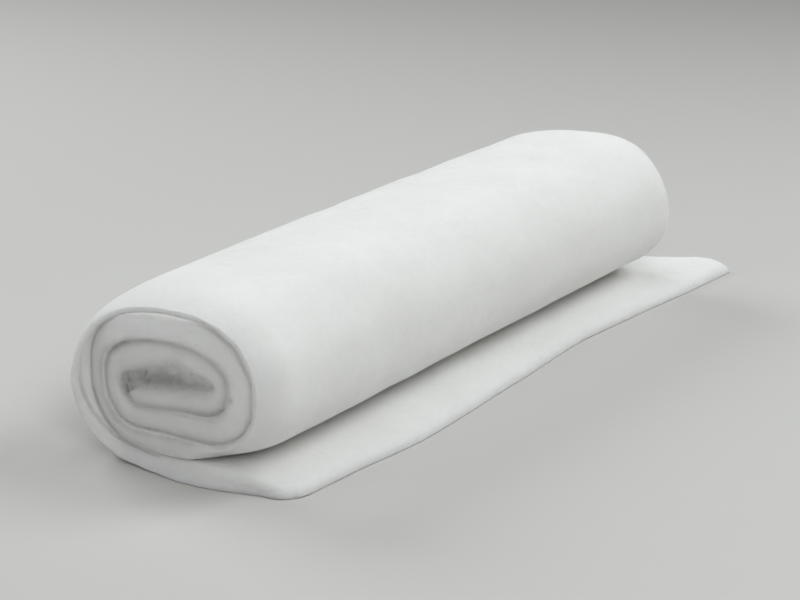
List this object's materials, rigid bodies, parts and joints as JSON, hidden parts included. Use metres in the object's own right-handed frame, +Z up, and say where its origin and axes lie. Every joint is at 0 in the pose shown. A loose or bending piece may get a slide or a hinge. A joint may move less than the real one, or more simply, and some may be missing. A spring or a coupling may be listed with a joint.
{
  "type": "roll of quilt batting",
  "caption": "Thick white polyester batting wound loosely into a flattened roll that lies on its own loose end, with its turns and a flat slit hollow showing at the ends.",
  "frame": {"origin": "on the surface that the roll lies on, under the middle of the whole length's box", "axes": "+Y along the roll's axis from the end shown nearest, +X towards the loose end's outer edge, +Z up"},
  "size_m": [0.2564, 0.8074, 0.1687],
  "materials": {
    "wadding": "matt, lofty white fibre"
  },
  "bodies": {
    "root": {"batting_roll": "wadding"}
  },
  "joints": []
}
